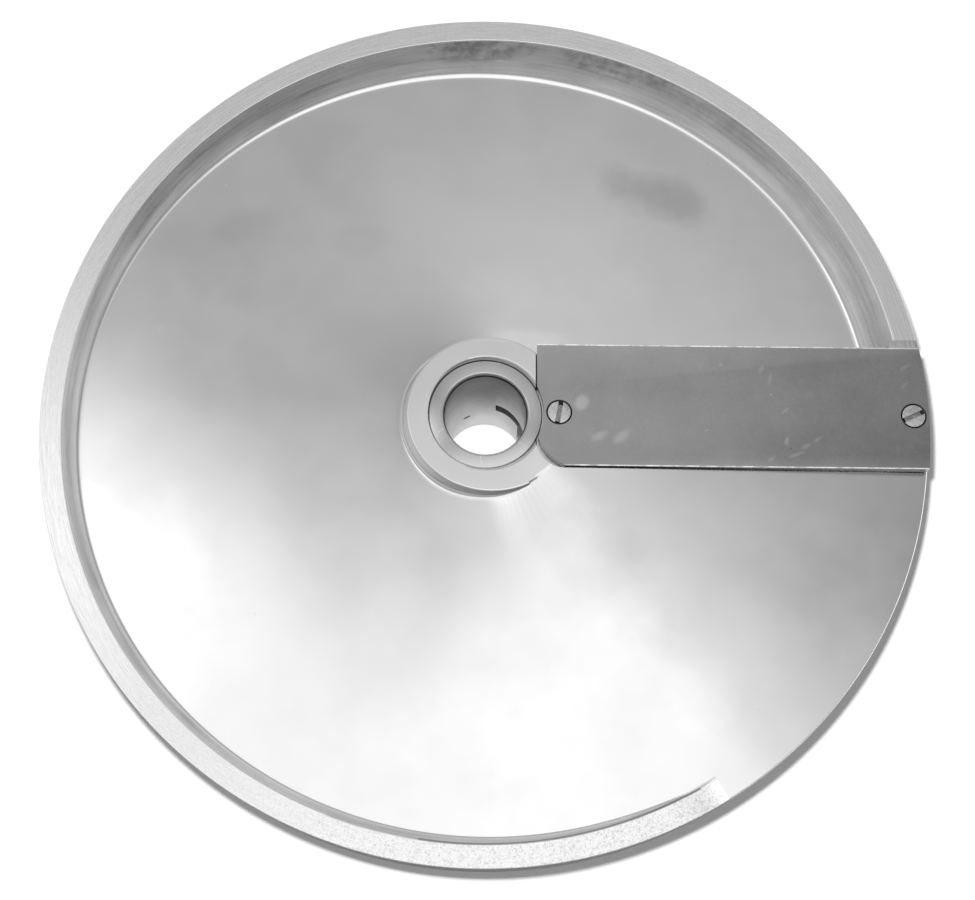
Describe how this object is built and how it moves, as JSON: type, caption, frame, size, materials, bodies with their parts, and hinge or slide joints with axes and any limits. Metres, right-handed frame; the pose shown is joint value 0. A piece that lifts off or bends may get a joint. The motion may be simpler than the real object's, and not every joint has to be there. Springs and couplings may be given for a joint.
{
  "type": "slicing disc",
  "caption": "Round cast slicing disc with a helical ramp, raised rim, a flat screwed-on blade over a slicing slot, and a steel-bushed hub below.",
  "frame": {"origin": "on the bore's axis, at the hub's lower end face", "axes": "+Z along the bore towards the cutting side, +X along the blade from hub to rim, +Y towards the blade's cutting edge"},
  "size_m": [0.2049, 0.205, 0.0392],
  "materials": {
    "cast_aluminium": "polished ramp, rim top machined with fine circular marks",
    "bush_steel": "turned, fine circular marks on the end face",
    "blade_steel": "satin ground, lightly scuffed",
    "screw_steel": "satin, slightly worn"
  },
  "bodies": {
    "root": {"disc_casting": "cast_aluminium", "hub_bush": "bush_steel", "slicing_blade": "blade_steel", "inner_blade_screw": "screw_steel", "outer_blade_screw": "screw_steel"}
  },
  "joints": []
}
